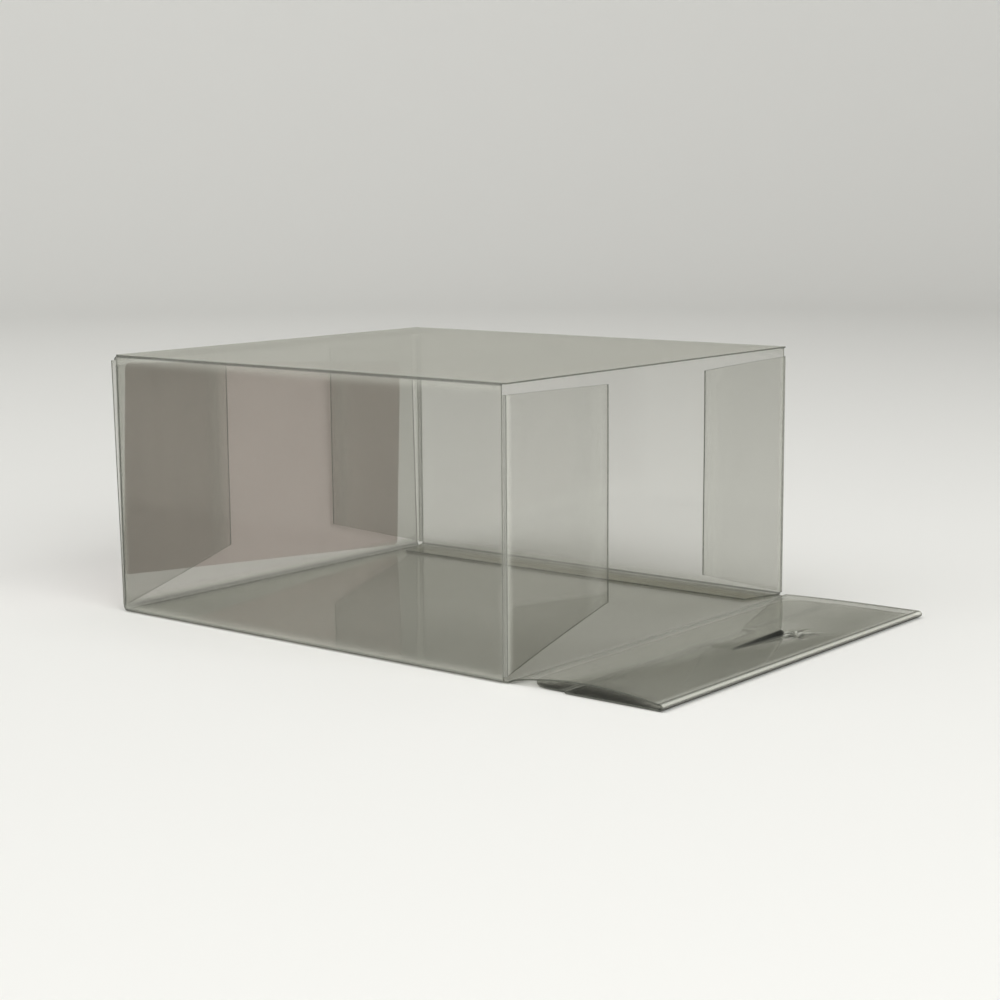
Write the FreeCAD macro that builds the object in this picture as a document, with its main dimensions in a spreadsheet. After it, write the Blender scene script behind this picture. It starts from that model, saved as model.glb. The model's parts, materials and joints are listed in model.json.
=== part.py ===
"""Clear film shoe carton: a straight tuck-end box that lies on its widest panel.

One die-cut sheet of rigid film is scored and wrapped into a tube, and each end is shut by two
dust flaps and a closure, which is hinged on the bottom panel and tucks in under the top panel.
Each panel and flap of the sheet is a solid of its own, so that it can turn at its crease.

Frame: millimetres, +Z up, +X towards the front end, which stands open. The origin is the middle
of the bottom panel's underside.
"""

import FreeCAD
import Part

import math
import os

import Sketcher
from FreeCAD import Placement, Rotation, Vector

DRIVING = {
    # the tube
    "case_length": 134.0,  # between the outer faces of the front and rear dust flaps
    "case_width": 124.0,
    "case_height": 70.0,
    "film": 0.4,
    "crease_radius": 0.8,  # outside of a long crease
    "bottom_overhang": 1.0,  # from a dust flap's outer face out to the bottom panel's end
    # the glued seam, inside along the far lower edge
    "glue_thickness": 0.1,
    "glue_width": 6.0,
    "seam_width": 12.0,
    "seam_taper": 4.0,
    # dust flaps
    "dust_length": 39.9,
    "dust_bottom": 1.4,  # height of the lower corner at the crease
    "dust_top": 67.2,  # height of the upper corner at the crease
    "dust_rise": 11.2,  # the lower edge climbs this much towards the free end
    "dust_drop": 0.8,  # the upper edge falls this much towards the free end
    # closures, and the tuck flaps at their ends
    "closure_gap": 0.8,  # from a dust flap's outer face out to the closure's crease
    "closure_base": 0.8,  # height of the closure's crease
    "closure_length": 68.4,  # from that crease to the tuck flap's crease
    "closure_width": 121.8,
    "turning_gap": 0.05,  # between a piece that turns and the film beside its crease
    "tuck_length": 12.0,
    "tuck_inset": 1.0,
    "tuck_corner": 8.0,
    # the open front closure: it bows up to a buckle, and is folded back under itself past it
    "lower_length": 22.8,
    "lower_tilt": 5.0,
    "middle_length": 18.8,
    "middle_tilt": 4.0,
    # the shut rear closure, whose top leans out
    "rear_lean": 1.2,
    # the paper label on the outside of the rear closure
    "label_width": 112.0,
    "label_height": 58.0,
    "label_thickness": 0.12,
    "label_corner": 1.5,
    "label_offset": 2.1,  # its middle is this far towards the near side
    "label_centre": 33.7,  # its middle is this far up the closure
    "label_turn": 4.0,
}

doc = FreeCAD.newDocument("shoe_carton")
sheet = doc.addObject("Spreadsheet::Sheet", "Sizes")
for row, (alias, number) in enumerate(DRIVING.items(), start=1):
    sheet.set(f"A{row}", alias)
    sheet.set(f"B{row}", str(number))
    sheet.setAlias(f"B{row}", alias)
doc.recompute()


class Size:
    """A length or an angle, with the formula in the sheet's words that it follows."""

    def __init__(self, value, formula):
        self.value = value
        self.formula = formula

    def __add__(self, other):
        return Size(self.value + other.value, f"({self.formula} + {other.formula})")

    def __sub__(self, other):
        return Size(self.value - other.value, f"({self.formula} - {other.formula})")

    def __mul__(self, times):
        return Size(self.value * times, f"({self.formula} * {times})")


def named(alias):
    """A driving dimension, read from the sheet."""
    return Size(float(sheet.get(alias)), f"Sizes.{alias}")


X = Vector(1, 0, 0)
Y = Vector(0, 1, 0)
Z = Vector(0, 0, 1)
ORIGIN = Size(0, "0")
FILM = named("film")
HALF_FILM = FILM * 0.5
CASE_LENGTH = named("case_length")
CREASE_RADIUS = named("crease_radius")
CLOSURE_WIDTH = named("closure_width")

pieces = []


def bind(feature, **sizes):
    """Set a feature's properties to follow the sheet."""
    for prop, size in sizes.items():
        feature.setExpression(prop, size.formula)


def place(piece, label, corner, turn):
    """Label a finished sub-part and put it in the frame."""
    piece.Label = label
    piece.Placement = Placement(corner, turn)
    pieces.append(piece)


def facing(out, along):
    """The turn that lays a piece's own X along out and its own Y along along."""
    return Rotation(out, along, out.cross(along), "ZXY")


def outline(body, corners, thickness):
    """A closed outline of straight lines, half a thickness below the body's XY plane."""
    sketch = body.newObject("Sketcher::SketchObject", body.Name + "_outline")
    plane = next(f for f in body.Origin.OriginFeatures if f.Role == "XY_Plane")
    sketch.AttachmentSupport = [(plane, "")]
    sketch.MapMode = "FlatFace"
    sketch.setExpression(".AttachmentOffset.Base.z", f"-{thickness.formula} / 2")
    points = [Vector(x.value, y.value, 0) for x, y in corners]
    for start, end in zip(points, points[1:] + points[:1]):
        sketch.addGeometry(Part.LineSegment(start, end), False)
    for line, corner in enumerate(corners):
        before = (line - 1) % len(corners)
        sketch.addConstraint(Sketcher.Constraint("Coincident", before, 2, line, 1))
        for kind, axis, size in zip(("DistanceX", "DistanceY"), (-2, -1), corner):
            if size is ORIGIN:
                sketch.addConstraint(Sketcher.Constraint("PointOnObject", line, 1, axis))
            else:
                rule = Sketcher.Constraint(kind, -1, 1, line, 1, size.value)
                index = sketch.addConstraint(rule)
                sketch.setExpression(f"Constraints[{index}]", size.formula)
    return sketch


def flat_piece(name, corners, thickness=FILM, hinge=None, rounded=None):
    """A die-cut piece in the body's XY plane.

    hinge is the length of a round edge on the body's own Y axis, about which the piece turns.
    rounded is the radius of the two corners furthest from that axis.
    """
    body = doc.addObject("PartDesign::Body", name)
    sketch = outline(body, corners, thickness)
    pad = body.newObject("PartDesign::Pad", name + "_sheet")
    pad.Profile = sketch
    bind(pad, Length=thickness)
    if rounded is not None:
        doc.recompute()
        fillet = body.newObject("PartDesign::Fillet", name + "_corners")
        fillet.Base = (pad, upright_edges(pad.Shape, pad.Shape.BoundBox.Center.x))
        bind(fillet, Radius=rounded)
    if hinge is not None:
        edge = body.newObject("PartDesign::AdditiveCylinder", name + "_edge")
        edge.Placement = Placement(Vector(), Rotation(X, -90))
        bind(edge, Radius=thickness * 0.5, Height=hinge)
    return body


def upright_edges(shape, beyond=-math.inf):
    """The names of a flat piece's corner edges further along X than beyond."""
    return [
        f"Edge{index}"
        for index, edge in enumerate(shape.Edges, start=1)
        if edge.BoundBox.ZLength > edge.BoundBox.XLength + edge.BoundBox.YLength
        and edge.BoundBox.Center.x > beyond
    ]


def rectangle(length, width):
    """The corners of a rectangle that starts at the origin."""
    return [(ORIGIN, ORIGIN), (length, ORIGIN), (length, width), (ORIGIN, width)]


def long_crease(label, centre, out, along):
    """A quarter-round strip of film between the panels that out and along point to."""
    outer = doc.addObject("Part::Cylinder", label + "_outside")
    bind(outer, Radius=CREASE_RADIUS, Height=CASE_LENGTH)
    outer.Angle = 90
    inner = doc.addObject("Part::Cylinder", label + "_inside")
    bind(inner, Radius=CREASE_RADIUS - FILM, Height=CASE_LENGTH)
    strip = doc.addObject("Part::Cut", label)
    strip.Base = outer
    strip.Tool = inner
    place(strip, label, centre, facing(out, along))


def tube():
    """The four panels round the shoes, with the creases that join them."""
    half_length = CASE_LENGTH.value / 2
    half_width = named("case_width").value / 2
    height = named("case_height").value
    radius = CREASE_RADIUS.value
    half_film = HALF_FILM.value
    overhang = named("bottom_overhang").value
    seam_height = FILM.value + named("glue_thickness").value

    bottom_length = CASE_LENGTH + named("bottom_overhang") * 2
    bottom_width = named("case_width") - CREASE_RADIUS - HALF_FILM
    bottom = flat_piece("bottom_panel", rectangle(bottom_length, bottom_width))
    corner = Vector(-half_length - overhang, -half_width + radius, half_film)
    place(bottom, "bottom_panel", corner, facing(X, Y))

    top_width = named("case_width") - CREASE_RADIUS * 2
    top = flat_piece("top_panel", rectangle(CASE_LENGTH, top_width))
    corner = Vector(-half_length, -half_width + radius, height - half_film)
    place(top, "top_panel", corner, facing(X, Y))

    near_height = named("case_height") - CREASE_RADIUS * 2
    near = flat_piece("near_side_panel", rectangle(CASE_LENGTH, near_height))
    corner = Vector(-half_length, -half_width + half_film, radius)
    place(near, "near_side_panel", corner, facing(X, Z))

    far_height = near_height - FILM - named("glue_thickness")
    far = flat_piece("far_side_panel", rectangle(CASE_LENGTH, far_height))
    corner = Vector(-half_length, half_width - half_film, seam_height + radius)
    place(far, "far_side_panel", corner, facing(X, Z))

    inward = half_width - radius
    long_crease("lower_near_crease", Vector(-half_length, -inward, radius), -Y, -Z)
    long_crease("upper_near_crease", Vector(-half_length, -inward, height - radius), Z, -Y)
    long_crease("upper_far_crease", Vector(-half_length, inward, height - radius), Y, Z)
    long_crease("glue_flap_crease", Vector(-half_length, inward, seam_height + radius), -Z, Y)


def glued_seam():
    """The flap inside the far lower edge, and the line of glue that holds it down."""
    inward = named("case_width").value / 2 - CREASE_RADIUS.value
    glue_thickness = named("glue_thickness")
    width = named("seam_width")
    taper = named("seam_taper")
    corners = [
        (ORIGIN, ORIGIN),
        (CASE_LENGTH, ORIGIN),
        (CASE_LENGTH - taper, width),
        (taper, width),
    ]
    flap = flat_piece("glue_flap", corners)
    middle_height = FILM.value + glue_thickness.value + HALF_FILM.value
    corner = Vector(-CASE_LENGTH.value / 2, inward, middle_height)
    place(flap, "glue_flap", corner, facing(X, -Y))

    line = doc.addObject("Part::Box", "glue_line")
    length = CASE_LENGTH - taper * 2
    bind(line, Length=length, Width=named("glue_width"), Height=glue_thickness)
    near_edge = inward - (width.value + named("glue_width").value) / 2
    place(line, "glue_line", Vector(-length.value / 2, near_edge, FILM.value), Rotation())


def dust_flaps():
    """Two flaps at each end, folded across the opening just inside the side panels' ends."""
    height = named("dust_top") - named("dust_bottom")
    length = named("dust_length")
    corners = [
        (ORIGIN, ORIGIN),
        (length, named("dust_rise")),
        (length, height - named("dust_drop")),
        (ORIGIN, height),
    ]
    end = CASE_LENGTH.value / 2 - HALF_FILM.value
    side = named("case_width").value / 2
    side -= FILM.value + HALF_FILM.value + named("turning_gap").value
    for end_name, x in (("front", end), ("rear", -end)):
        for side_name, y in (("near", -side), ("far", side)):
            label = f"{end_name}_{side_name}_dust_flap"
            flap = flat_piece(label, corners, hinge=height)
            inward = Y if y < 0 else -Y
            corner = Vector(x, y, named("dust_bottom").value)
            place(flap, label, corner, facing(inward, Z))


def tuck_flap(label, crease, out):
    """The flap at a closure's free end, which slides in under the top panel."""
    inset = named("tuck_inset")
    width = CLOSURE_WIDTH - inset * 2
    corners = rectangle(named("tuck_length"), width)
    flap = flat_piece(label, corners, hinge=width, rounded=named("tuck_corner"))
    place(flap, label, crease + Y * inset.value, facing(out, Y))


def along(degrees):
    """The level direction X, lifted by so many degrees."""
    turn = math.radians(degrees)
    return Vector(math.cos(turn), 0, math.sin(turn))


def front_closure():
    """The open closure, lying out in front of the case and folded double."""
    gap = named("turning_gap")
    lower_length = named("lower_length")
    middle_length = named("middle_length")
    upper_length = named("closure_length") - lower_length - middle_length
    half_width = CLOSURE_WIDTH.value / 2
    crease = Vector(
        CASE_LENGTH.value / 2 + named("closure_gap").value,
        -half_width,
        named("closure_base").value,
    )
    rising = along(named("lower_tilt").value)
    falling = along(-named("middle_tilt").value)

    short_of_crease = HALF_FILM + gap
    lower = rectangle(lower_length - short_of_crease, CLOSURE_WIDTH)
    lower = flat_piece("front_closure_lower", lower, hinge=CLOSURE_WIDTH)
    place(lower, "front_closure_lower", crease, facing(rising, Y))

    buckle = crease + rising * lower_length.value
    middle = rectangle(middle_length - gap, CLOSURE_WIDTH)
    middle = flat_piece("front_closure_middle", middle, hinge=CLOSURE_WIDTH)
    place(middle, "front_closure_middle", buckle, facing(falling, Y))

    # the fold's axis is as far below the sheet on top as it is above the sheet beneath, which
    # lies flat on the table
    end = buckle + falling * middle_length.value
    tilt = math.radians(named("middle_tilt").value)
    reach = (end.z - HALF_FILM.value) / (1 + math.cos(tilt))
    fold = end - Vector(math.sin(tilt), 0, math.cos(tilt)) * reach
    under = fold - Z * reach

    upper = rectangle(upper_length - short_of_crease - gap, CLOSURE_WIDTH)
    upper = flat_piece("front_closure_upper", upper)
    place(upper, "front_closure_upper", under - X * gap.value, facing(-X, Y))
    tuck_crease = under - X * upper_length.value
    tuck_flap("front_tuck_flap", tuck_crease, -X)

    for word, axis in (
        ("front closure crease", crease),
        ("buckle", buckle),
        ("fold", fold),
        ("front tuck crease", tuck_crease),
    ):
        print(f"{word} axis: x {axis.x:.4f}, z {axis.z:.4f}")


def rear_closure():
    """The shut closure, with its tuck flap in under the top panel and a label outside."""
    lean = named("rear_lean").value
    crease = Vector(
        -CASE_LENGTH.value / 2 - named("closure_gap").value,
        -CLOSURE_WIDTH.value / 2,
        named("closure_base").value,
    )
    up = along(90 + lean)
    length = named("closure_length")
    panel = rectangle(length - HALF_FILM - named("turning_gap"), CLOSURE_WIDTH)
    panel = flat_piece("rear_closure", panel, hinge=CLOSURE_WIDTH)
    place(panel, "rear_closure", crease, facing(up, Y))
    tuck_crease = crease + up * length.value
    tuck_flap("rear_tuck_flap", tuck_crease, X)

    label = paper_label()
    turn = math.radians(named("label_turn").value)
    across = Y * math.cos(turn) - up * math.sin(turn)
    upward = up * math.cos(turn) + Y * math.sin(turn)
    outward = up.cross(Y)
    centre = crease + up * named("label_centre").value
    centre += Y * (CLOSURE_WIDTH.value / 2 - named("label_offset").value)
    centre += outward * (FILM.value + named("label_thickness").value) / 2
    corner = centre - across * (named("label_width").value / 2)
    corner -= upward * (named("label_height").value / 2)
    place(label, "rear_label", corner, facing(across, upward))
    print(f"rear closure crease axis: x {crease.x:.4f}, z {crease.z:.4f}")
    print(f"rear tuck crease axis: x {tuck_crease.x:.4f}, z {tuck_crease.z:.4f}")


def paper_label():
    """A plain sheet of paper with small round corners."""
    body = doc.addObject("PartDesign::Body", "rear_label")
    thickness = named("label_thickness")
    corners = rectangle(named("label_width"), named("label_height"))
    pad = body.newObject("PartDesign::Pad", "rear_label_sheet")
    pad.Profile = outline(body, corners, thickness)
    bind(pad, Length=thickness)
    doc.recompute()
    fillet = body.newObject("PartDesign::Fillet", "rear_label_corners")
    fillet.Base = (pad, upright_edges(pad.Shape))
    bind(fillet, Radius=named("label_corner"))
    return body


def check():
    """Stop if any feature failed or any sub-part isn't one sound solid."""
    doc.recompute()
    for item in doc.Objects:
        if {"Invalid", "Error"} & set(item.State):
            raise RuntimeError(f"{item.Name} failed: {item.State}")
    for piece in pieces:
        shape = piece.Shape
        if shape.isNull() or not shape.isValid() or len(shape.Solids) != 1:
            raise RuntimeError(f"{piece.Label} isn't one valid solid")


def export():
    """Write each sub-part to its own file."""
    os.makedirs("parts", exist_ok=True)
    for piece in pieces:
        piece.Shape.exportStep(f"parts/{piece.Label}.step")
        bounds = piece.Shape.BoundBox
        print(
            f"{piece.Label}: {piece.Shape.Volume:.2f} cubic mm,"
            f" x {bounds.XMin:.2f} {bounds.XMax:.2f},"
            f" y {bounds.YMin:.2f} {bounds.YMax:.2f},"
            f" z {bounds.ZMin:.2f} {bounds.ZMax:.2f}"
        )


tube()
glued_seam()
dust_flaps()
front_closure()
rear_closure()
check()
export()
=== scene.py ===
"""Clear film shoe carton: the film sheets, creases, glue and label round the CAD frame.

Every sheet of film is rolled out of the same builder: a path of stations, each with a straight
line across the sheet, given a real thickness and closed by its cut edges. Sheets that meet at a
crease are joined by a narrow strip that bends between the two bodies.
"""

import bmesh
import bpy
import math

from mathutils import Matrix, Vector
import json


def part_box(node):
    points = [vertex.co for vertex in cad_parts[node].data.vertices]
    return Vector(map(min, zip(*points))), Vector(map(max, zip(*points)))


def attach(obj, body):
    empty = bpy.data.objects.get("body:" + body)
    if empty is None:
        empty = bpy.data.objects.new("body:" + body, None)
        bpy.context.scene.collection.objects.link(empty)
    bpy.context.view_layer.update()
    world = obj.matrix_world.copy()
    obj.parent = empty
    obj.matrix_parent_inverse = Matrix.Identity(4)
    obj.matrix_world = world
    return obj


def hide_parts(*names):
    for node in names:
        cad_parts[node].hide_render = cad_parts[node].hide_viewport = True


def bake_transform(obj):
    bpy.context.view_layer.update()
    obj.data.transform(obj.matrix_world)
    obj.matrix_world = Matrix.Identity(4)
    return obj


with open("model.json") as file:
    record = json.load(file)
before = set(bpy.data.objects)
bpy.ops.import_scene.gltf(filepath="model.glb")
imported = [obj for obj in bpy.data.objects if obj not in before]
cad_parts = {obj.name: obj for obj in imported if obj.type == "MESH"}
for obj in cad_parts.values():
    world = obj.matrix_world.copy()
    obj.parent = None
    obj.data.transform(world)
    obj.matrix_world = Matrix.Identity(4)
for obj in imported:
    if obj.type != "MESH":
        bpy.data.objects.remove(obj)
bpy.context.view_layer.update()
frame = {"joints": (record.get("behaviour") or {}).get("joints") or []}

MM = 0.001
X = Vector((1, 0, 0))
Y = Vector((0, 1, 0))
Z = Vector((0, 0, 1))

scene = bpy.context.scene
JOINTS = {joint["name"]: joint for joint in frame["joints"]}


def axis_of(name):
    """A point on a joint's axis."""
    return Vector(JOINTS[name]["pos_m"])


# ---- sizes, the first of them read from the frame

BOTTOM_LOW, BOTTOM_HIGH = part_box("bottom_panel")
TOP_LOW, TOP_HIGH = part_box("top_panel")
SEAM_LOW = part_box("glue_flap")[0]
GLUE_LOW, GLUE_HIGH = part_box("glue_line")

FILM = TOP_HIGH[2] - TOP_LOW[2]
HALF_FILM = FILM / 2
HALF_LENGTH = TOP_HIGH[0]
HALF_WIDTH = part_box("far_side_panel")[1][1]
HEIGHT = TOP_HIGH[2]
BOTTOM_MIDDLE = BOTTOM_LOW[2] + HALF_FILM  # height of the bottom panel's middle surface
CREASE_BEND = 0.6 * MM  # radius of the film's middle at a long crease
END_BEND = 0.7 * MM  # the same at a dust flap's crease
CREASE_REACH = 0.9 * MM  # how far a crease strip reaches either side of its axis

SEAM_TAPER = 4 * MM  # how much further in the glue flap's ends stop at its free edge
DUST_LENGTH = 39.9 * MM
DUST_RISE = 11.2 * MM  # how far a dust flap's lower edge rises along it
DUST_DROP = 0.8 * MM  # how far its upper edge drops
SECOND_SCORE = 3.6 * MM  # from a dust flap's free edge to the score line inside it
TUCK_LENGTH = 12 * MM
TUCK_CORNER = 8 * MM
TUCK_SIDE = 1 * MM  # how far a tuck flap's crease stops short of the closure's sides

# distances from a crease or a cut edge at which a sheet has a row of vertices
CLOSE_ROWS = (0.0, 0.25 * MM, 0.5 * MM, 0.9 * MM, 1.5 * MM, 2.4 * MM, 4.0 * MM)
ROW_STEP = 5 * MM
SHORT_ROW_STEP = 0.5 * MM  # on a sheet too short for close rows at both of its ends
BEND_STEPS = 6  # rows round a right-angled bend


# ---- materials


def node_of(tree, kind, **inputs):
    """A shader node, with plain values on its inputs."""
    node = tree.nodes.new(kind)
    for name, value in inputs.items():
        node.inputs[name.replace("_", " ")].default_value = value
    return node


def math_node(tree, operation, first, second=None, clamp=False):
    """The output of a Math node whose inputs are sockets or numbers."""
    node = tree.nodes.new("ShaderNodeMath")
    node.operation = operation
    node.use_clamp = clamp
    for socket, value in zip(node.inputs, (first, second)):
        if isinstance(value, (int, float)):
            socket.default_value = value
        elif value is not None:
            tree.links.new(value, socket)
    return node.outputs[0]


def attribute(tree, name):
    """A float stored on the mesh."""
    node = tree.nodes.new("ShaderNodeAttribute")
    node.attribute_name = name
    return node.outputs["Fac"]


def new_material(name):
    """A material with an empty tree, and its output node."""
    material = bpy.data.materials.new(name)
    material.use_nodes = True
    tree = material.node_tree
    tree.nodes.clear()
    output = tree.nodes.new("ShaderNodeOutputMaterial")
    return material, tree, output


def noise(tree, scale, detail=2.0, stretch=(1, 1, 1)):
    """Noise in metres of the object's frame, between 0 and 1."""
    place = tree.nodes.new("ShaderNodeTexCoord")
    mapping = tree.nodes.new("ShaderNodeMapping")
    mapping.inputs["Scale"].default_value = stretch
    texture = node_of(tree, "ShaderNodeTexNoise", Scale=scale, Detail=detail)
    tree.links.new(place.outputs["Object"], mapping.inputs["Vector"])
    tree.links.new(mapping.outputs["Vector"], texture.inputs["Vector"])
    return texture.outputs["Fac"]


def mix_shaders(tree, share, first, second):
    """A Mix Shader: second's share is a socket or a number."""
    node = tree.nodes.new("ShaderNodeMixShader")
    if isinstance(share, (int, float)):
        node.inputs[0].default_value = share
    else:
        tree.links.new(share, node.inputs[0])
    tree.links.new(first, node.inputs[1])
    tree.links.new(second, node.inputs[2])
    return node.outputs[0]


FACE_TINT = (0.881, 0.881, 0.870, 1)  # what one face of a sheet lets through
GLOSS_TINT = (0.79, 0.79, 0.74, 1)
HEAD_ON_GLOSS = 0.045  # share of the light that the film reflects, seen head on
BASE_HAZE = 0.012
HAZE_SCATTER = 0.22  # what a stored haze of 1 scatters


def film_material():
    """Clear rigid film: a faint smoky green tint, a gloss that wavers, scuffs and creases."""
    material, tree, output = new_material("clear_film")

    waver = node_of(tree, "ShaderNodeBump", Strength=0.35, Distance=0.0006)
    tree.links.new(noise(tree, 22.0, 1.5), waver.inputs["Height"])
    normal = waver.outputs["Normal"]

    facing = node_of(tree, "ShaderNodeLayerWeight", Blend=0.5)
    tree.links.new(normal, facing.inputs["Normal"])
    grazing = math_node(tree, "POWER", facing.outputs["Facing"], 5.0)
    gloss_share = math_node(tree, "MULTIPLY_ADD", grazing, 1 - HEAD_ON_GLOSS)
    gloss_share.node.inputs[2].default_value = HEAD_ON_GLOSS

    clear = tree.nodes.new("ShaderNodeBsdfTransparent")
    clear.inputs["Color"].default_value = FACE_TINT
    gloss = node_of(tree, "ShaderNodeBsdfGlossy", Roughness=0.05)
    gloss.inputs["Color"].default_value = GLOSS_TINT
    tree.links.new(normal, gloss.inputs["Normal"])
    film = mix_shaders(tree, gloss_share, clear.outputs[0], gloss.outputs[0])

    # hairline scratches and a crazed crease scatter a little light; the stored haze is also a
    # painted highlight on the fold's shoulder and the crumple's ridges, and painted light all over
    # the front closure
    scratches = math_node(tree, "GREATER_THAN", noise(tree, 70.0, 3.0, (1, 16, 5)), 0.74)
    scratches = math_node(tree, "MULTIPLY", scratches, 0.035)
    others = math_node(tree, "GREATER_THAN", noise(tree, 85.0, 3.0, (14, 3, 1)), 0.75)
    others = math_node(tree, "MULTIPLY", others, 0.03)
    crazing_and_painted_light = math_node(tree, "MULTIPLY", attribute(tree, "haze"), HAZE_SCATTER)
    haze_share = math_node(tree, "ADD", scratches, others)
    haze_share = math_node(tree, "ADD", haze_share, crazing_and_painted_light)
    haze_share = math_node(tree, "ADD", haze_share, BASE_HAZE, clamp=True)
    scatter = node_of(tree, "ShaderNodeBsdfDiffuse", Roughness=0.3)
    scatter.inputs["Color"].default_value = (0.72, 0.73, 0.67, 1)
    film = mix_shaders(tree, haze_share, film, scatter.outputs[0])

    # painted shade: the stored dark blackens the line of each crease, where the bend turns light
    # aside, and stands for the shadow under the pinch's lip, beside the crumple's ridges, along
    # the fold's underside and inside the open fold
    line = node_of(tree, "ShaderNodeBsdfDiffuse", Roughness=0.3)
    line.inputs["Color"].default_value = (0.02, 0.021, 0.019, 1)
    film = mix_shaders(tree, attribute(tree, "dark"), film, line.outputs[0])
    tree.links.new(film, output.inputs["Surface"])
    return material


def edge_material():
    """A cut edge of the film, where light is trapped: dark, with a faint glint."""
    material, tree, output = new_material("film_cut_edge")
    clear = tree.nodes.new("ShaderNodeBsdfTransparent")
    clear.inputs["Color"].default_value = (0.45, 0.46, 0.42, 1)
    body = node_of(tree, "ShaderNodeBsdfPrincipled", Roughness=0.35)
    body.inputs["Base Color"].default_value = (0.13, 0.137, 0.118, 1)
    share = math_node(tree, "MULTIPLY_ADD", noise(tree, 300.0, 3.0), 0.4)
    share.node.inputs[2].default_value = 0.35
    tree.links.new(
        mix_shaders(tree, share, clear.outputs[0], body.outputs[0]), output.inputs["Surface"]
    )
    return material


def glue_material():
    """Clear adhesive, faintly yellow, with small bubbles."""
    material, tree, output = new_material("clear_glue")
    clear = tree.nodes.new("ShaderNodeBsdfTransparent")
    clear.inputs["Color"].default_value = (0.93, 0.91, 0.82, 1)
    body = node_of(tree, "ShaderNodeBsdfPrincipled", Roughness=0.25)
    body.inputs["Base Color"].default_value = (0.72, 0.69, 0.56, 1)
    bubbles = math_node(tree, "GREATER_THAN", noise(tree, 900.0, 1.0), 0.62)
    share = math_node(tree, "MULTIPLY_ADD", bubbles, 0.25)
    share.node.inputs[2].default_value = 0.16
    tree.links.new(
        mix_shaders(tree, share, clear.outputs[0], body.outputs[0]), output.inputs["Surface"]
    )
    return material


def paper_material():
    """Plain uncoated paper with a fine grain, a little uneven in tone."""
    material, tree, output = new_material("label_paper")
    body = node_of(tree, "ShaderNodeBsdfPrincipled", Roughness=0.86)
    ramp = tree.nodes.new("ShaderNodeValToRGB")
    ramp.color_ramp.elements[0].position = 0.3
    ramp.color_ramp.elements[0].color = (0.850, 0.732, 0.744, 1)
    ramp.color_ramp.elements[1].position = 0.72
    ramp.color_ramp.elements[1].color = (0.890, 0.770, 0.782, 1)
    tree.links.new(noise(tree, 45.0, 5.0), ramp.inputs["Fac"])
    tree.links.new(ramp.outputs["Color"], body.inputs["Base Color"])
    grain = node_of(tree, "ShaderNodeBump", Strength=0.3, Distance=0.00008)
    tree.links.new(noise(tree, 2600.0, 4.0, (1, 1, 0.35)), grain.inputs["Height"])
    tree.links.new(grain.outputs["Normal"], body.inputs["Normal"])
    tree.links.new(body.outputs[0], output.inputs["Surface"])
    return material


FILM_LOOK = film_material()
EDGE_LOOK = edge_material()
GLUE_LOOK = glue_material()
PAPER_LOOK = paper_material()


# ---- the sheet builder


class Station:
    """One row across a sheet: a point of its middle surface, and how the film looks there."""

    def __init__(self, point, haze=0.0, dark=0.0, inset=(0.0, 0.0)):
        self.point = Vector(point)
        self.haze = haze
        self.dark = dark
        self.inset = inset  # how far the row stops short of the sheet's two sides


def crease_look(distance, darkness=0.0):
    """How crazed the film is that far from a crease's line, and how dark with painted shade on the
    line itself.
    """
    haze = math.exp(-((distance / (1.3 * MM)) ** 2))
    dark = darkness * math.exp(-((distance / (0.3 * MM)) ** 2))
    return haze, dark


def rows(length, step=ROW_STEP):
    """Distances from 0 to length, close together at both ends."""
    first = list(CLOSE_ROWS)
    last = [length - row for row in reversed(CLOSE_ROWS)]
    span = last[0] - first[-1]
    if span <= 0:
        count = max(4, round(length / SHORT_ROW_STEP))
        return [length * index / count for index in range(count + 1)]
    count = max(1, round(span / step))
    middle = [first[-1] + span * index / count for index in range(1, count)]
    return first + middle + last


def with_rows(distances, close):
    """Distances with a closely spaced run in place of those that it passes over."""
    kept = [d for d in distances if not close[0] - 0.1 * MM < d < close[-1] + 0.1 * MM]
    return sorted(kept + close)


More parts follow.
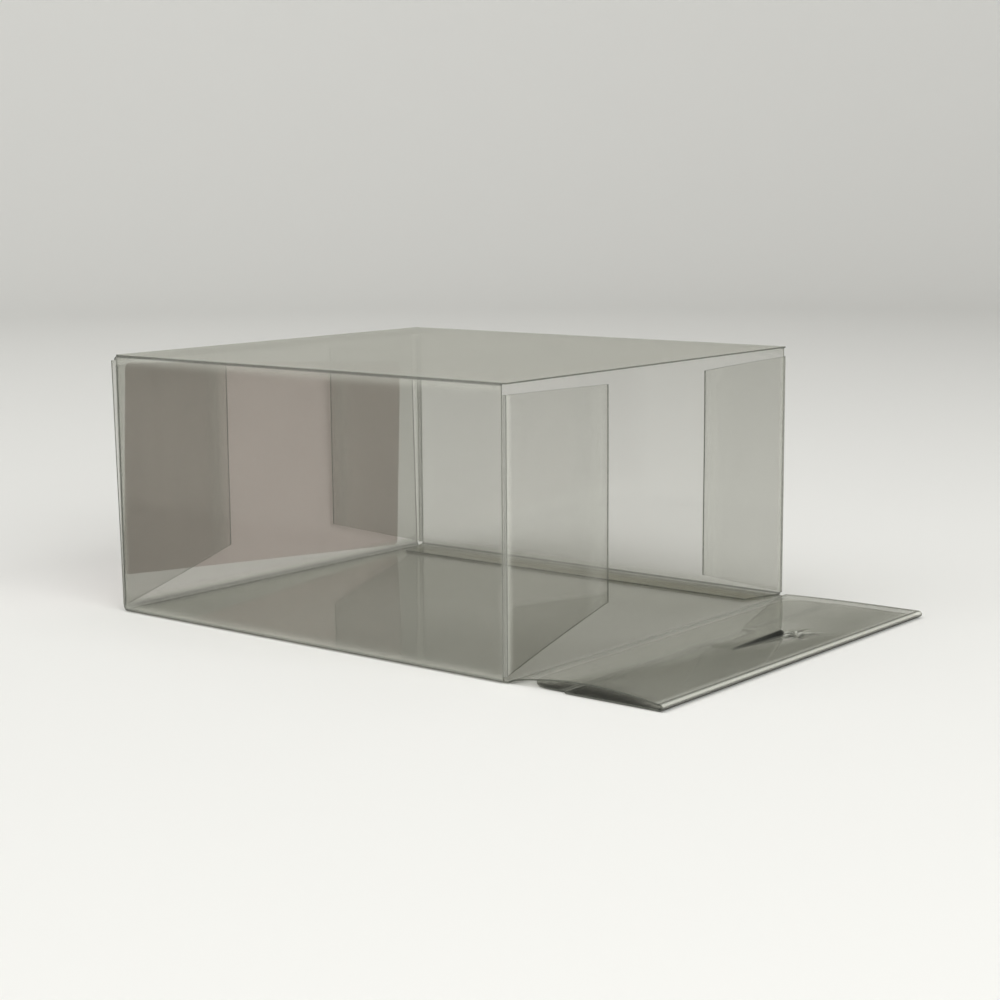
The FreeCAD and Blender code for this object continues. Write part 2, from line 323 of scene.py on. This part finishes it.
def build_sheet(
    name, stations, across, width, columns, thickness, bend=None, proud=None, look=None
):
    """A closed sheet through the stations, width wide along across.

    columns are distances from the first side. bend(point) is an extra way off the middle surface,
    towards proud. look(along, column, outer) adds haze and dark at a vertex of the outer face,
    which is the face towards proud, or of the inner one.
    """
    count = len(stations)
    along = [0.0]
    for before, after in zip(stations, stations[1:]):
        along.append(along[-1] + (after.point - before.point).length)
    normals = []
    for index in range(count):
        before = stations[max(index - 1, 0)].point
        after = stations[min(index + 1, count - 1)].point
        normal = across.cross((after - before).normalized())
        normals.append(-normal if proud and normal.dot(proud) < 0 else normal)

    mesh_vertices = []
    haze = []
    dark = []
    for side in (1, -1):
        for index, station in enumerate(stations):
            start, end = station.inset
            for column in columns:
                place = start + column / width * (width - start - end)
                point = station.point + across * place
                off = bend(point) if bend else 0.0
                mesh_vertices.append(point + normals[index] * (off + side * thickness / 2))
                more = look(along[index], place, side > 0) if look else (0.0, 0.0)
                haze.append(max(station.haze, more[0]))
                dark.append(max(station.dark, more[1]))

    line = len(columns)
    layer = count * line
    faces = []
    materials = []
    for index in range(count - 1):
        for column in range(line - 1):
            corner = index * line + column
            quad = (corner, corner + line, corner + line + 1, corner + 1)
            faces.append(quad)
            faces.append(tuple(layer + vertex for vertex in reversed(quad)))
            materials += [0, 0]
    rim = list(range(line))
    rim += [index * line + line - 1 for index in range(1, count)]
    rim += [(count - 1) * line + column for column in range(line - 2, -1, -1)]
    rim += [index * line for index in range(count - 2, 0, -1)]
    for first, second in zip(rim, rim[1:] + rim[:1]):
        faces.append((first, second, layer + second, layer + first))
        materials.append(1)

    mesh = bpy.data.meshes.new(name)
    mesh.from_pydata(mesh_vertices, [], faces)
    mesh.polygons.foreach_set("material_index", materials)
    for values, word in ((haze, "haze"), (dark, "dark")):
        stored = mesh.attributes.new(word, "FLOAT", "POINT")
        stored.data.foreach_set("value", values)
    finish_mesh(mesh)
    piece = bpy.data.objects.new(name, mesh)
    scene.collection.objects.link(piece)
    return piece


def finish_mesh(mesh):
    """Turn faces outwards, and shade smooth but for the sheet's rim."""
    work = bmesh.new()
    work.from_mesh(mesh)
    bmesh.ops.recalc_face_normals(work, faces=work.faces)
    for face in work.faces:
        face.smooth = True
    for edge in work.edges:
        kinds = {face.material_index for face in edge.link_faces}
        edge.smooth = len(kinds) == 1
    work.to_mesh(mesh)
    work.free()


def film_piece(name, stations, across, width, columns, **more):
    """A sheet of clear film with dark cut edges."""
    piece = build_sheet(name, stations, across, width, columns, FILM, **more)
    piece.data.materials.append(FILM_LOOK)
    piece.data.materials.append(EDGE_LOOK)
    return piece


def straight(start, direction, distances, crease_at=(0.0,)):
    """Stations on a straight line, crazed near the distances that creases lie at."""
    stations = []
    for distance in distances:
        haze = max(crease_look(distance - crease)[0] for crease in crease_at)
        stations.append(Station(start + direction * distance, haze))
    return stations


def arc(centre, out, on, radius, darkness=0.7):
    """Stations round a right-angled bend from out towards on, crazed, with painted shade darkest
    at its middle.
    """
    stations = []
    for index in range(1, BEND_STEPS):
        share = index / BEND_STEPS
        angle = math.radians(90) * share
        point = centre + out * radius * math.cos(angle) + on * radius * math.sin(angle)
        stations.append(Station(point, 1.0, darkness * ridge(share)))
    return stations


def ridge(share):
    """1 half-way across, falling evenly to 0 at either side."""
    return 1 - abs(share - 0.5) * 2


def ripple(point, amount=0.1 * MM):
    """The slight unevenness of a sheet of film, in a few long waves at angles to each other."""
    value = math.sin(point.x * 71 + point.y * 43 + 1.3)
    value += 0.7 * math.sin(point.y * 96 - point.z * 57 + 0.4)
    value += 0.5 * math.sin(point.z * 128 + point.x * 39 + 2.1)
    return amount * value / 2.2


def fade(distance, over=6 * MM):
    """0 at an edge, and 1 from so far inside it."""
    share = min(max(distance / over, 0.0), 1.0)
    return share * share * (3 - 2 * share)


# ---- the tube


def tube_path():
    """Stations round the tube, from the bottom panel's far edge to the glue flap's edge."""
    bottom = BOTTOM_MIDDLE
    top = HEIGHT - HALF_FILM
    side = HALF_WIDTH - HALF_FILM
    seam = SEAM_LOW[2] + HALF_FILM
    bend = CREASE_BEND
    far_edge = BOTTOM_HIGH[1]

    path = []
    run = far_edge + side - bend
    start = Vector((0, far_edge, bottom))
    path += straight(start, -Y, rows(run), crease_at=(run,))
    path += arc(Vector((0, bend - side, bottom + bend)), -Z, -Y, bend)
    run = top - bottom - 2 * bend
    start = Vector((0, -side, bottom + bend))
    path += straight(start, Z, rows(run), crease_at=(0, run))
    path += arc(Vector((0, bend - side, top - bend)), -Y, Z, bend)
    run = 2 * (side - bend)
    start = Vector((0, bend - side, top))
    path += straight(start, Y, rows(run), crease_at=(0, run))
    path += arc(Vector((0, side - bend, top - bend)), Z, Y, bend)
    run = top - seam - 2 * bend
    start = Vector((0, side, top - bend))
    path += straight(start, -Z, rows(run), crease_at=(0, run))
    path += arc(Vector((0, side - bend, seam + bend)), Y, -Z, bend)
    run = side - bend - SEAM_LOW[1]
    start = Vector((0, side - bend, seam))
    path += straight(start, -Y, rows(run), crease_at=(0,))
    return path, bottom, top, side, seam


def tube_film():
    """The wrapped sheet: bottom, near side, top, far side and glue flap in one piece."""
    path, bottom, top, side, seam = tube_path()
    side_inset = FILM + END_BEND - HALF_FILM
    seam_width = side - CREASE_BEND - SEAM_LOW[1]
    for station in path:
        place = station.point
        inset = side_inset
        if min(abs(place.z - bottom), abs(place.z - top)) < 0.01 * MM:
            inset = 0.0
        elif abs(place.z - seam) < 0.01 * MM:
            inset += SEAM_TAPER * (side - CREASE_BEND - place.y) / seam_width
        station.inset = (inset, inset)
        place.x = -HALF_LENGTH

    def off(point):
        """Waves in the open panels, none beside a crease or an end."""
        beside_end = fade(HALF_LENGTH - abs(point.x))
        across_panel = fade(side - abs(point.y)) + fade(min(point.z - bottom, top - point.z))
        lying = fade(point.z - bottom, 2 * MM)  # the bottom panel lies flat
        return ripple(point) * beside_end * min(across_panel, 1.0) * lying

    def end_look(_, column, __):
        """The crazing along the scored ends of the panels."""
        distance = min(column, 2 * HALF_LENGTH - column)
        return 0.6 * crease_look(distance)[0], 0.0

    width = 2 * HALF_LENGTH
    piece = film_piece("tube_film", path, X, width, rows(width), bend=off, look=end_look)
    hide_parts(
        "bottom_panel", "near_side_panel", "top_panel", "far_side_panel", "glue_flap",
        "lower_near_crease", "upper_near_crease", "upper_far_crease", "glue_flap_crease",
    )
    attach(piece, "tube")


GLUE_STEPS = 90
GLUE_ROUND_PART = 26  # each end of the bead is rounded over 1 in this many parts of half of it


def glue_bead():
    """A squeezed line of adhesive under the glue flap, of uneven width."""
    length = GLUE_HIGH[0] - GLUE_LOW[0]
    width = GLUE_HIGH[1] - GLUE_LOW[1]
    thickness = GLUE_HIGH[2] - GLUE_LOW[2]
    middle = (GLUE_LOW[2] + GLUE_HIGH[2]) / 2
    stations = []
    for index in range(GLUE_STEPS + 1):
        share = index / GLUE_STEPS
        uneven = 0.16 * math.sin(37 * share) + 0.1 * math.sin(101 * share + 1)
        uneven += 0.06 * math.sin(211 * share)
        into_end = max(0.0, abs(2 * share - 1) * GLUE_ROUND_PART - (GLUE_ROUND_PART - 1))
        rounded = 0.5 * (1 - math.sqrt(max(0.0, 1 - into_end**2)))
        first = width * min(0.495, max(0.02, 0.16 + 0.5 * uneven) + 0.4 * rounded)
        second = width * min(0.495, max(0.02, 0.16 - 0.4 * uneven) + 0.4 * rounded)
        point = Vector((GLUE_LOW[0] + length * share, GLUE_LOW[1], middle))
        stations.append(Station(point, inset=(first, second)))
    columns = [width * index / 6 for index in range(7)]
    piece = build_sheet("glue_bead", stations, Y, width, columns, thickness * 0.96)
    piece.data.materials.append(GLUE_LOOK)
    piece.data.materials.append(GLUE_LOOK)
    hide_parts("glue_line")
    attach(piece, "tube")


# ---- dust flaps


def dust_flap(end_name, side_name):
    """A tapered flap across the opening, and the crease that joins it to the side panel."""
    node = f"{end_name}_{side_name}_dust_flap"
    body = f"{end_name}_{side_name}_flap"
    low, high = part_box(node)
    end = 1 if end_name == "front" else -1
    inward = 1 if side_name == "near" else -1
    plane = (low[0] + high[0]) / 2
    side = -inward * (HALF_WIDTH - HALF_FILM)
    start = Vector((plane, side + inward * END_BEND, low[2]))
    tip = low[1] if inward < 0 else high[1]
    length = abs(tip - start.y)
    height = high[2] - low[2]

    distances = rows(length)
    stations = straight(start, Y * inward, distances)
    for station, distance in zip(stations, distances):
        share = (distance + END_BEND) / (DUST_LENGTH + END_BEND)
        station.inset = (DUST_RISE * share, DUST_DROP * share)

    def off(point):
        """A slight belly in the flap, and its waves."""
        out = abs(point.y - start.y)
        belly = 0.35 * MM * math.sin(math.pi * min(out / length, 1.0))
        return (ripple(point, 0.14 * MM) + belly) * fade(out)

    def edge_look(along, _, __):
        """A second score line, just inside the free edge, crazed, with painted shade on its line.
        """
        haze, dark = crease_look(along - (length - SECOND_SCORE), 0.12)
        return 0.25 * haze, dark

    piece = film_piece(
        node + "_film", stations, Z, height, rows(height), bend=off, proud=-X * end,
        look=edge_look,
    )
    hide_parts(node)
    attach(piece, body)

    # the crease: round the corner from the side panel's end to the flap
    centre = Vector((plane - end * END_BEND, side + inward * END_BEND, low[2]))
    first = Station(centre - Y * inward * END_BEND, 0.9)
    last = Station(centre + X * end * END_BEND, 0.9)
    bend = [first] + arc(centre, -Y * inward, X * end, END_BEND, darkness=0.3) + [last]
    strip = film_piece(node + "_crease", bend, Z, height, rows(height))
    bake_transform(strip)


# ---- closures


def middle_line(share):
    """How crazed a crease strip is at a share of the way across it, and how dark with painted
    shade along its middle.
    """
    return 0.95, 0.4 * ridge(share)


def lit_fold(share):
    """How crazed and how dark a full fold is: crazed all round, with a painted highlight of haze
    on its upper shoulder and painted shade along its underside.
    """
    return 0.5 + 1.7 * math.exp(-(((share - 0.3) / 0.12) ** 2)), 0.75 * fade(share - 0.45, 0.25)


def crease_strip(name, points, low, high, inset=0.0, look=middle_line):
    """A narrow strip that bends between two bodies, through points in the XZ plane."""
    count = len(points) - 1
    stations = []
    for index, point in enumerate(points):
        place = Vector((point[0], low + inset, point[1]))
        stations.append(Station(place, *look(index / count)))
    width = high - low - 2 * inset
    piece = film_piece(name, stations, Y, width, rows(width))
    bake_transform(piece)
    return piece


def smooth_run(start, leaving, end, arriving, steps=8):
    """Points on a smooth curve between two points in the XZ plane, with its end directions."""
    points = []
    reach = math.dist(start, end) * 0.9
    for index in range(steps + 1):
        t = index / steps
        h = (2 * t**3 - 3 * t**2 + 1, t**3 - 2 * t**2 + t, 3 * t**2 - 2 * t**3, t**3 - t**2)
        points.append(
            tuple(
                h[0] * start[k] + h[1] * reach * leaving[k] + h[2] * end[k]
                + h[3] * reach * arriving[k]
                for k in (0, 1)
            )
        )
    return points


# Ridges at the end of the pinch: place across and beyond it, turn in radians, reach, height.
CRUMPLE = (
    (1.0 * MM, 0.6 * MM, 0.9, 1.3 * MM, 0.8),
    (2.2 * MM, -1.6 * MM, 1.45, 1.9 * MM, 0.7),
    (2.9 * MM, 1.9 * MM, 2.1, 1.2 * MM, 0.9),
    (3.4 * MM, -0.4 * MM, 1.2, 0.9 * MM, -0.7),
    (4.3 * MM, 0.9 * MM, 1.7, 1.8 * MM, 0.6),
    (1.6 * MM, 3.6 * MM, 1.35, 2.6 * MM, -0.6),
    (5.4 * MM, 3.4 * MM, 1.0, 2.2 * MM, 0.5),
    (5.9 * MM, -1.1 * MM, 2.6, 1.1 * MM, -0.5),
)
CRUMPLE_HEIGHT = 0.85 * MM
RIDGE_WIDTH = 0.45 * MM
BUCKLE_START = -9.5 * MM  # along Y, where the pinch across the closure begins
BUCKLE_END = 14.7 * MM
PINCH_PAST_BUCKLE = 4.6 * MM  # along X, from the buckle's axis to the pinch
LIP = 1.05 * MM  # height of the pinch's lip
BOW = 1.85 * MM  # rise of the arch over its chord at the near edge
FAR_BOW = 0.25 * MM  # the same at the far edge, which lies nearly flat
CLOSURE_PAINTED_HAZE = 0.28  # haze all over the closure: painted light that lightens the whole of it
FOLD_BULGE = 1.25  # how much rounder than a half circle the fold is
FOLD_STEPS = 12
FOLD_START = 0.3 * MM  # how far short of the fold's axis its strip begins
FOLD_SHADE = 0.62  # how dark the inside of the open fold is at its near edge


def crumple(across, y):
    """Short sharp ridges and dents at the end of the pinch, as a share of their height."""
    value = 0.0
    for ahead, beyond, turn, reach, height in CRUMPLE:
        forward, sideways = across - ahead, y - BUCKLE_END - beyond
        lengthways = forward * math.cos(turn) + sideways * math.sin(turn)
        aside = sideways * math.cos(turn) - forward * math.sin(turn)
        taper = math.exp(-((lengthways / reach) ** 2))
        value += height * taper * math.exp(-((aside / RIDGE_WIDTH) ** 2))
    return value


def along_pinch(y):
    """0 outside the pinched stretch, and 1 near its far end, where it is sharpest."""
    share = (y - BUCKLE_START) / (BUCKLE_END - BUCKLE_START)
    if not 0 < share < 1.06:
        return 0.0
    return share**0.8 * fade(1.06 - share, 0.12)


class FrontClosure:
    """The open closure: an arched sheet, its fold, the part folded under and the tuck flap."""

    def __init__(self):
        low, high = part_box("front_closure_lower")
        self.low, self.high = low[1], high[1]
        self.width = self.high - self.low
        self.fold = axis_of("front_closure_fold")
        self.tuck = axis_of("front_tuck_crease")
        self.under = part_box("front_closure_upper")[0][2] + HALF_FILM
        self.reach = self.fold.z - self.under  # from the fold's axis to either layer
        crease = axis_of("front_closure_crease")
        self.start = Vector((crease.x + CREASE_REACH, 0, crease.z + 0.1 * MM))
        self.end = Vector((self.fold.x - FOLD_START, 0, self.fold.z + self.reach))
        self.length = self.end.x - self.start.x
        buckle = axis_of("front_closure_buckle")
        self.pinch = buckle.x + PINCH_PAST_BUCKLE - self.start.x

    def arch(self, x):
        """Share of the bow at x: none at either end of the chord."""
        share = min(max((x - self.start.x) / self.length, 0.0), 1.0)
        early = share**0.97
        return 4 * early * (1 - early)

    def bow(self, y):
        """How high the arch stands, which falls away from the near edge to the far one."""
        share = (y - self.low) / self.width
        return FAR_BOW + (BOW - FAR_BOW) * (1 - fade(share, 0.8))

    def off(self, point):
        """The bow, waves, the pinch with its lip, and the crumple at the pinch's end."""
        inside = fade(point.x - self.start.x, 5 * MM) * fade(self.end.x - point.x, 5 * MM)
        value = self.bow(point.y) * self.arch(point.x) + ripple(point) * inside
        across = point.x - self.start.x - self.pinch
        if across < 0:
            lip = math.exp(-((across / (5 * MM)) ** 2))
        else:
            lip = math.exp(-((across / (0.3 * MM)) ** 2))
            lip -= 0.3 * fade(across, 0.8 * MM) * math.exp(-((across / (4 * MM)) ** 2))
        value += LIP * along_pinch(point.y) * lip
        return value + CRUMPLE_HEIGHT * crumple(across, point.y) * inside

    def pinch_look(self, along, column, _):
        """Painted shadow, black, under the pinch's lip; along the ridges at its end, a painted
        highlight of haze on their tops and painted shade on one side of each.
        """
        across = along - self.pinch
        y = self.low + column
        # painted shadow under the pinch's lip
        under_lip = fade(across + 0.1 * MM, 0.15 * MM) * (1 - fade(across - 0.45 * MM, 0.2 * MM))
        dark = 0.95 * under_lip * along_pinch(y) ** 0.3
        # painted highlight of haze on the ridge tops, and painted shade on the side of each ridge
        # that falls away
        height = crumple(across, y)
        beside = crumple(across - 0.5 * MM, y)
        shade = min(0.65, 1.2 * max(beside - height, 0.0))
        return min(2.4, 3.4 * max(height, 0.0)), max(dark, shade)

    def in_fold(self, along, column):
        """How dark the inside of the open fold is at its near edge, where no light gets in."""
        reach = 1.2 * MM + 7.5 * MM * self.arch(self.start.x + along) ** 2
        return FOLD_SHADE * (1 - fade(column - 0.6 * reach, 0.9 * reach))

    def under_look(self, along, column, outer):
        """The shade on the inner face of the part folded under."""
        return 0.0, 0.0 if outer else self.in_fold(self.length - along, column)

    def film(self):
        """The arched sheet, with rows close together at the pinch and the crumple."""
        close = [self.pinch + step * 0.12 * MM for step in range(-6, 13)]
        close += [self.pinch + 1.5 * MM + step * 0.3 * MM for step in range(25)]
        rise = (self.end.z - self.start.z) / self.length
        stations = []
        for distance in with_rows(rows(self.length, step=3 * MM), close):
            beside_crease = crease_look(distance)[0]
            beside_fold = crease_look(self.length - distance)[0]
            height = self.start.z + rise * distance
            point = Vector((self.start.x + distance, self.low, height))
            # painted light: haze all over the closure lightens it
            stations.append(Station(point, max(CLOSURE_PAINTED_HAZE, beside_crease, beside_fold)))

        close = [index * 1.0 * MM - self.low for index in range(-11, 10)]
        close += [BUCKLE_END - 5 * MM + index * 0.3 * MM - self.low for index in range(50)]
        columns = with_rows(rows(self.width), close)
        piece = film_piece(
            "front_closure_film", stations, Y, self.width, columns,
            bend=self.off, proud=Z, look=self.pinch_look,
        )
        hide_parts("front_closure_lower", "front_closure_middle")
        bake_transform(piece)

    def creases(self):
        """The crease at the bottom panel's end, the rounded fold, and the tuck flap's crease."""
        start, fold = self.start, self.fold
        points = smooth_run((HALF_LENGTH, BOTTOM_MIDDLE), (1, 0), (start.x, start.z), (1, 0.05))
        crease_strip(
            "front_closure_crease", points, self.low, self.high
        )

        top = fold.z + self.reach
        points = [(self.end.x, top), (fold.x, top)]
        for index in range(1, FOLD_STEPS):
            angle = math.radians(90 - 180 * index / FOLD_STEPS)
            bulge = FOLD_BULGE * self.reach * math.cos(angle)
            points.append((fold.x + bulge, fold.z + self.reach * math.sin(angle)))
        points += [(fold.x, self.under), (self.end.x, self.under)]
        crease_strip(
            "front_closure_fold", points,
            self.low, self.high, look=lit_fold,
        )

        points = [(self.tuck.x + CREASE_REACH * (1 - index / 4), self.under) for index in range(9)]
        crease_strip(
            "front_tuck_crease", points,
            self.low, self.high, TUCK_SIDE,
        )

    def folded_under(self):
        """The part folded under, and its tuck flap."""
        run = self.end.x - self.tuck.x - CREASE_REACH
        back = straight(
            Vector((self.end.x, self.low, self.under)), -X, rows(run), crease_at=(0, run)
        )
        piece = film_piece(
            "front_closure_upper_film", back, Y, self.width, rows(self.width),
            proud=-Z, look=self.under_look,
        )
        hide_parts("front_closure_upper")
        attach(piece, "front_closure_end")
        tuck_flap("front", Vector((self.tuck.x, 0, self.under)), -X, self.in_fold)


def tuck_flap(end_name, crease, direction, shade=None):
    """A flap with two round corners at its free end. shade(along, column) darkens its top."""
    low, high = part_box(f"{end_name}_tuck_flap")
    width = high[1] - low[1]
    length = TUCK_LENGTH - CREASE_REACH
    start = crease + direction * CREASE_REACH + Y * low[1]
    distances = rows(length, step=1 * MM)
    stations = straight(start, direction, distances)
    for station, distance in zip(stations, distances):
        inset = corner_inset(TUCK_CORNER, length - distance)
        station.inset = (inset, inset)

    def look(along, column, outer):
        """The shade in the open fold, which the flap's end reaches back into."""
        return 0.0, shade(length - along, column) if shade and outer else 0.0

    piece = film_piece(
        f"{end_name}_tuck_film", stations, Y, width, rows(width), proud=Z, look=look
    )
    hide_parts(f"{end_name}_tuck_flap")
    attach(piece, f"{end_name}_tuck")


def corner_inset(radius, from_end):
    """How far a round corner's edge stops short of the side, so far from the sheet's end."""
    into = max(0.0, radius - from_end)
    return radius - math.sqrt(max(radius**2 - into**2, 0.0))


def rear_closure():
    """The shut closure, its creases, its tuck flap, and the paper label outside."""
    crease = axis_of("rear_closure_crease")
    tuck = axis_of("rear_tuck_crease")
    low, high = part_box("rear_closure")
    low, high = low[1], high[1]
    width = high - low
    up = (tuck - crease).normalized()
    length = (tuck - crease).length
    start = Vector((crease.x, low, crease.z)) + up * CREASE_REACH
    run = length - 2 * CREASE_REACH
    stations = straight(start, up, rows(run), crease_at=(0, run))

    def off(point):
        """Waves, which are none beside the creases."""
        above = point.z - start.z
        return ripple(point, 0.08 * MM) * fade(above) * fade(run - above)

    film = film_piece("rear_closure_film", stations, Y, width, rows(width), bend=off)
    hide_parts("rear_closure")
    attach(film, "rear_closure")

    points = smooth_run(
        (-HALF_LENGTH, BOTTOM_MIDDLE), (-1, 0), (start.x, start.z), (up.x, up.z)
    )
    crease_strip("rear_closure_crease", points, low, high)
    tuck_flap("rear", Vector((tuck.x, 0, tuck.z)), X)
    last = start + up * run
    points = smooth_run(
        (last.x, last.z), (up.x, up.z), (tuck.x + CREASE_REACH, tuck.z), (1, 0)
    )
    crease_strip("rear_tuck_crease", points, low, high, TUCK_SIDE)
    rear_label(crease, up)


LABEL_WIDTH, LABEL_HEIGHT, LABEL_THICKNESS = 112 * MM, 58 * MM, 0.12 * MM
LABEL_TURN = math.radians(4)
LABEL_UP = 33.7 * MM  # its middle above the closure's crease
LABEL_ASIDE = 2.1 * MM  # its middle towards the near side
LABEL_CLEAR = 0.12 * MM  # between it and the film, so that its cockling stays outside
LABEL_CORNER = 1.5 * MM


def rear_label(crease, up):
    """A plain paper label, stuck a little crooked, with two corners just lifting."""
    width, height = LABEL_WIDTH, LABEL_HEIGHT
    across = Y * math.cos(LABEL_TURN) - up * math.sin(LABEL_TURN)
    upward = up * math.cos(LABEL_TURN) + Y * math.sin(LABEL_TURN)
    outward = up.cross(Y)
    centre = Vector((crease.x, 0, crease.z)) + up * LABEL_UP - Y * LABEL_ASIDE
    centre += outward * (HALF_FILM + LABEL_THICKNESS / 2 + LABEL_CLEAR)
    corner = centre - across * width / 2 - upward * height / 2
    stations = []
    for distance in rows(height, step=2 * MM):
        inset = corner_inset(LABEL_CORNER, min(distance, height - distance))
        stations.append(Station(corner + upward * distance, inset=(inset, inset)))

    def off(point):
        """Faint cockling, more at two corners that lift."""
        place = point - corner
        right = place.dot(across)
        above = place.dot(upward)
        cockle = 0.03 * MM * math.sin(right * 210 + above * 90) * math.sin(above * 160)
        lift = math.exp(-math.hypot(right - width, above - height) / (4 * MM))
        lift += 0.7 * math.exp(-math.hypot(right, above) / (3 * MM))
        return -(cockle + 0.5 * MM * lift)

    columns = rows(width, step=2 * MM)
    piece = build_sheet(
        "paper_label", stations, across, width, columns, LABEL_THICKNESS, bend=off
    )
    piece.data.materials.append(PAPER_LOOK)
    piece.data.materials.append(PAPER_LOOK)
    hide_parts("rear_label")
    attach(piece, "rear_closure")


tube_film()
glue_bead()
for end_word in ("front", "rear"):
    for side_word in ("near", "far"):
        dust_flap(end_word, side_word)
closure = FrontClosure()
closure.film()
closure.creases()
closure.folded_under()
rear_closure()


# ---- stage, light and camera


FLOOR_RADIUS, WALL_RADIUS, WALL_HEIGHT = 1.3, 2.1, 2.2  # metres
SWEEP_STEPS = 14
STAGE_TURNS = 72
FLOOR_DROP = 0.2 * MM  # below the object, so that no two faces lie in one plane


def stage_profile():
    """Radius and height down the middle of the stage: floor, sweep and wall."""
    profile = [(0.0, 0.0), (FLOOR_RADIUS * 0.5, 0.0), (FLOOR_RADIUS, 0.0)]
    sweep = WALL_RADIUS - FLOOR_RADIUS
    for index in range(1, SWEEP_STEPS + 1):
        angle = math.radians(90) * index / SWEEP_STEPS
        radius = FLOOR_RADIUS + sweep * math.sin(angle)
        profile.append((radius, sweep * (1 - math.cos(angle))))
    return profile + [(WALL_RADIUS, WALL_HEIGHT)]


def stage():
    """A pale floor that sweeps up all round into a plain backdrop."""
    work = bmesh.new()
    rings = []
    for radius, height in stage_profile():
        if radius == 0:
            rings.append([work.verts.new((0, 0, height))] * STAGE_TURNS)
            continue
        ring = []
        for index in range(STAGE_TURNS):
            angle = 2 * math.pi * index / STAGE_TURNS
            place = (radius * math.cos(angle), radius * math.sin(angle), height)
            ring.append(work.verts.new(place))
        rings.append(ring)
    for inner, outer in zip(rings, rings[1:]):
        for index in range(STAGE_TURNS):
            following = (index + 1) % STAGE_TURNS
            corners = [inner[index], outer[index], outer[following], inner[following]]
            work.faces.new(list(dict.fromkeys(corners)))
    for face in work.faces:
        face.smooth = True
    mesh = bpy.data.meshes.new("studio_floor")
    work.to_mesh(mesh)
    work.free()
    mesh.materials.append(stage_material())
    floor = bpy.data.objects.new("studio_floor", mesh)
    floor.location.z = -FLOOR_DROP
    scene.collection.objects.link(floor)


def stage_material():
    """Pale matt paint, darker high up the wall, where the top panel's reflection comes from."""
    material, tree, output = new_material("studio_paint")
    paint = node_of(tree, "ShaderNodeBsdfPrincipled", Roughness=0.9)
    place = tree.nodes.new("ShaderNodeTexCoord")
    split = tree.nodes.new("ShaderNodeSeparateXYZ")
    tree.links.new(place.outputs["Object"], split.inputs[0])
    ramp = tree.nodes.new("ShaderNodeValToRGB")
    ramp.color_ramp.elements[0].position = 0.33
    ramp.color_ramp.elements[0].color = (0.86, 0.86, 0.845, 1)
    ramp.color_ramp.elements[1].position = 0.52
    ramp.color_ramp.elements[1].color = (0.22, 0.22, 0.185, 1)
    tree.links.new(split.outputs["Z"], ramp.inputs["Fac"])
    tree.links.new(ramp.outputs["Color"], paint.inputs["Base Color"])
    tree.links.new(paint.outputs[0], output.inputs["Surface"])
    return material


LAMP_COLOUR = (1, 0.995, 0.98)


def soft_light(name, place, aim, width, power):
    """A square soft box that points at aim."""
    lamp = bpy.data.lights.new(name, "AREA")
    lamp.shape = "SQUARE"
    lamp.size = width
    lamp.energy = power
    lamp.color = LAMP_COLOUR
    holder = bpy.data.objects.new(name, lamp)
    holder.location = place
    holder.rotation_euler = (Vector(aim) - Vector(place)).to_track_quat("-Z", "Y").to_euler()
    scene.collection.objects.link(holder)


def world_light():
    """Even light from all round, above the backdrop."""
    world = bpy.data.worlds.new("studio")
    scene.world = world
    world.use_nodes = True
    background = world.node_tree.nodes["Background"]
    background.inputs["Color"].default_value = (1.0, 0.995, 0.97, 1)
    background.inputs["Strength"].default_value = 0.46


CAMERA_PLACE = Vector((0.3518, -0.4165, 0.1153))
CAMERA_AZIMUTH = 38.91
CAMERA_DOWN = 9.01
CAMERA_ROLL = -0.41
LENS = 72.48


def camera():
    """The main view: a short telephoto, low and in front of the open end."""
    data = bpy.data.cameras.new("camera")
    data.lens = LENS
    data.sensor_width = 36
    data.clip_start = 0.01
    holder = bpy.data.objects.new("camera", data)
    turn = Matrix.Rotation(math.radians(CAMERA_AZIMUTH), 4, "Z")
    tip = Matrix.Rotation(math.radians(90 - CAMERA_DOWN), 4, "X")
    roll = Matrix.Rotation(math.radians(CAMERA_ROLL), 4, "Z")
    holder.matrix_world = Matrix.Translation(CAMERA_PLACE) @ turn @ tip @ roll
    scene.collection.objects.link(holder)
    scene.camera = holder


stage()
soft_light("key_box", (-0.5, -0.8, 1.25), (0, -0.1, 0), 1.5, 13.5)
soft_light("fill_box", (1.3, -0.3, 0.6), (0, 0, 0.04), 1.4, 22)
soft_light("backdrop_box", (-0.9, 0.5, 1.2), (-1.2, 1.6, 0.1), 1.0, 2.2)
world_light()
camera()
scene.view_settings.view_transform = "Standard"
scene.cycles.transparent_max_bounces = 40
scene.cycles.max_bounces = 8
scene.cycles.glossy_bounces = 3
scene.cycles.diffuse_bounces = 3

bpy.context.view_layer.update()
import json
